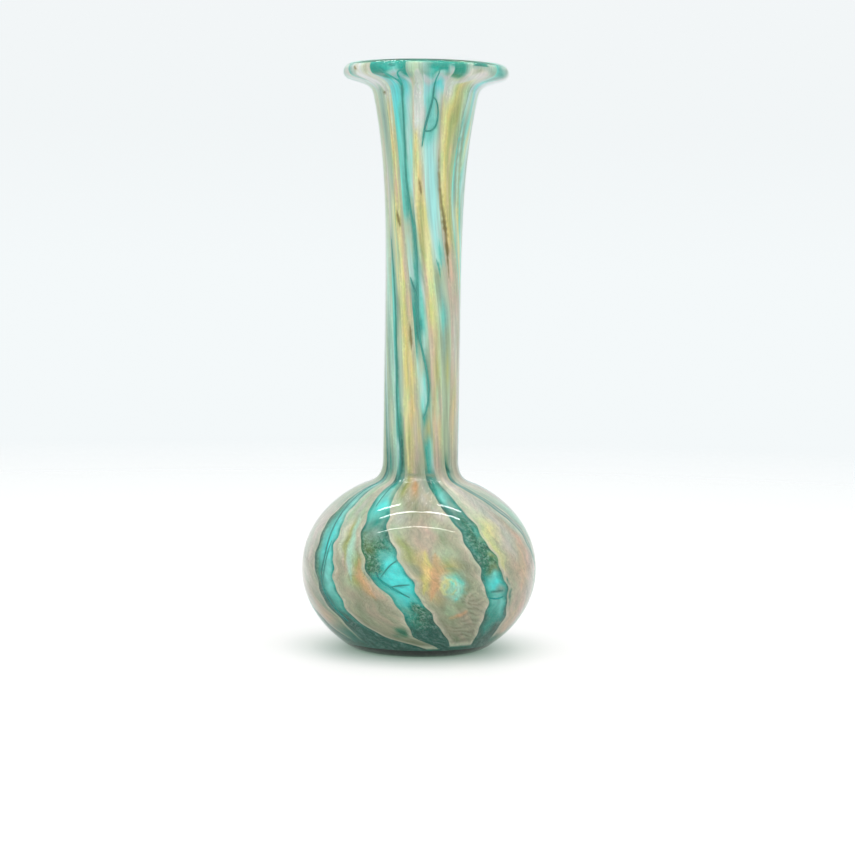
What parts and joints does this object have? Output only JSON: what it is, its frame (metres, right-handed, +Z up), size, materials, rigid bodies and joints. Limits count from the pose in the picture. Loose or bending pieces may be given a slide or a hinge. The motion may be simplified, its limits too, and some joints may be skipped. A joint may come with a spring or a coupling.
{
  "type": "art glass bud vase",
  "caption": "Hand-blown bud vase: squat globe, long straight neck and flared round lip, in aqua glass with swirled silvery tan ribbons under a clear skin.",
  "frame": {"origin": "centre of the flat foot, on the surface that the vase stands on", "axes": "+Z up along the axis of the neck and globe, -Y towards the front, +X to the right of the front"},
  "size_m": [0.076, 0.076, 0.1875],
  "materials": {
    "clear_casing": "fire polished, clear",
    "aqua_gather": "fire polished, transparent aqua",
    "silvered_tan_glass": "silvered, nearly opaque tan with gold and peach lustre",
    "aqua_band_glass": "transparent teal with silvery crackle",
    "dark_thread_glass": "dark green-black thread"
  },
  "bodies": {
    "root": {"inner_gather": "aqua_gather", "outer_casing": "clear_casing", "ribbon_1": "silvered_tan_glass", "ribbon_2": "silvered_tan_glass", "ribbon_3": "silvered_tan_glass", "ribbon_4": "silvered_tan_glass", "ribbon_5": "silvered_tan_glass", "ribbon_6": "silvered_tan_glass", "ribbon_7": "silvered_tan_glass", "ribbon_8": "silvered_tan_glass", "band_1": "aqua_band_glass", "band_2": "aqua_band_glass", "band_3": "aqua_band_glass", "band_4": "aqua_band_glass", "band_5": "aqua_band_glass", "band_6": "aqua_band_glass", "band_7": "aqua_band_glass", "band_8": "aqua_band_glass", "thread_1": "dark_thread_glass", "thread_2": "dark_thread_glass", "thread_3": "dark_thread_glass", "thread_4": "dark_thread_glass"}
  },
  "joints": []
}
